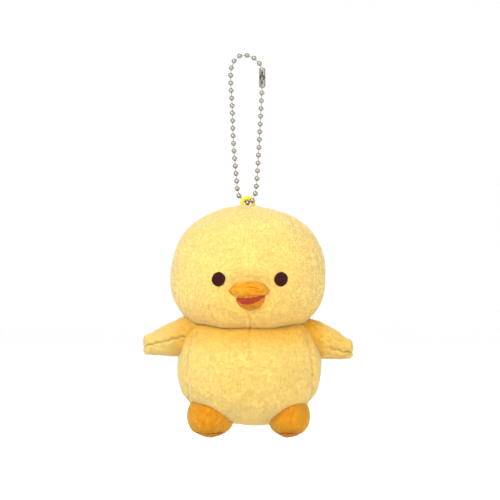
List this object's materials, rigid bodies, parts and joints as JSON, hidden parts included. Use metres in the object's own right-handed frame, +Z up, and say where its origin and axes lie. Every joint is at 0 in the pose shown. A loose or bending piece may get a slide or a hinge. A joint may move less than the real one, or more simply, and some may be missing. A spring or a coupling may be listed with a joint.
{
  "type": "plush keychain",
  "caption": "Small stuffed chick with stub wings and feet, hung by a ring on its head from a closed loop of ball chain.",
  "frame": {"origin": "inside of the top of the ball chain loop, where a hook or zip puller bears; the chick hangs below it", "axes": "+Z up towards the loop's top, -Y the way the chick faces, +X to the right of someone looking at its face"},
  "size_m": [0.0964, 0.0605, 0.1757],
  "materials": {
    "chain_steel": "polished",
    "eyelet_plastic": "satin",
    "tape": "matte",
    "stuffing": "matte",
    "orange_plush": "matte",
    "mouth_thread": "satin",
    "eye_thread": "satin",
    "sewing_thread": "matte",
    "yellow_plush": "matte"
  },
  "bodies": {
    "chain_top": {"chain_beads_top": "chain_steel", "chain_pins_top": "chain_steel"},
    "connector": {"connector_sleeve": "chain_steel"},
    "chain_middle": {"chain_beads_middle": "chain_steel", "chain_pins_middle": "chain_steel"},
    "chain_lower": {"chain_beads_lower": "chain_steel", "chain_pins_lower": "chain_steel"},
    "eyelet": {"eyelet_ring": "eyelet_plastic"},
    "head": {"anchor_tape": "tape", "beak_lower_cover": "orange_plush", "beak_lower_stuffing": "stuffing", "beak_upper_cover": "orange_plush", "beak_upper_stuffing": "stuffing", "eye_left": "eye_thread", "eye_right": "eye_thread", "head_back_left_panel": "yellow_plush", "head_back_right_panel": "yellow_plush", "head_front_left_panel": "yellow_plush", "head_front_right_panel": "yellow_plush", "head_stuffing": "stuffing", "mouth_thread": "mouth_thread"},
    "torso": {"body_back_left_panel": "yellow_plush", "body_back_right_panel": "yellow_plush", "body_front_panel": "yellow_plush", "body_stuffing": "stuffing", "closing_stitches": "sewing_thread"},
    "wing_left": {"wing_left_back_panel": "yellow_plush", "wing_left_front_panel": "yellow_plush", "wing_left_stuffing": "stuffing"},
    "wing_right": {"wing_right_back_panel": "yellow_plush", "wing_right_front_panel": "yellow_plush", "wing_right_stuffing": "stuffing"},
    "foot_left": {"foot_left_sole": "orange_plush", "foot_left_stuffing": "stuffing", "foot_left_upper": "orange_plush"},
    "foot_right": {"foot_right_sole": "orange_plush", "foot_right_stuffing": "stuffing", "foot_right_upper": "orange_plush"}
  },
  "joints": [
    {"name": "upper_chain_fold", "type": "hinge", "parent": "chain_top", "child": "chain_middle", "pos_m": [0, 0, -0.02415], "axis": [1, 0, 0], "range_deg": [-25, 25]},
    {"name": "lower_chain_fold", "type": "hinge", "parent": "chain_middle", "child": "chain_lower", "pos_m": [0, 0, -0.03818], "axis": [1, 0, 0], "range_deg": [-20, 20]},
    {"name": "connector_spin", "type": "hinge", "parent": "chain_top", "child": "connector", "pos_m": [0.0067, 0, -0.009], "axis": [0, 0, 1], "continuous": true},
    {"name": "eyelet_swing", "type": "hinge", "parent": "chain_lower", "child": "eyelet", "pos_m": [0, 0, -0.06615], "axis": [0, 1, 0], "range_deg": [-24, 24]},
    {"name": "head_tilt", "type": "hinge", "parent": "eyelet", "child": "head", "pos_m": [0, 0, -0.06907], "axis": [1, 0, 0], "range_deg": [-20, 20]},
    {"name": "neck_nod", "type": "hinge", "parent": "head", "child": "torso", "pos_m": [0, 0, -0.1247], "axis": [1, 0, 0], "range_deg": [-8, 8], "stiffness_Nm_per_rad": 0.02},
    {"name": "wing_left_flap", "type": "hinge", "parent": "torso", "child": "wing_left", "pos_m": [-0.0263, -0.002, -0.13284], "axis": [0, 1, 0], "range_deg": [-15, 15], "stiffness_Nm_per_rad": 0.005},
    {"name": "wing_right_flap", "type": "hinge", "parent": "torso", "child": "wing_right", "pos_m": [0.0263, -0.002, -0.13284], "axis": [0, 1, 0], "range_deg": [-15, 15], "stiffness_Nm_per_rad": 0.005},
    {"name": "foot_left_flex", "type": "hinge", "parent": "torso", "child": "foot_left", "pos_m": [-0.01779, -0.004, -0.16465], "axis": [1, 0, 0], "range_deg": [-8, 8], "stiffness_Nm_per_rad": 0.005},
    {"name": "foot_right_flex", "type": "hinge", "parent": "torso", "child": "foot_right", "pos_m": [0.01779, -0.004, -0.16465], "axis": [1, 0, 0], "range_deg": [-8, 8], "stiffness_Nm_per_rad": 0.005}
  ]
}
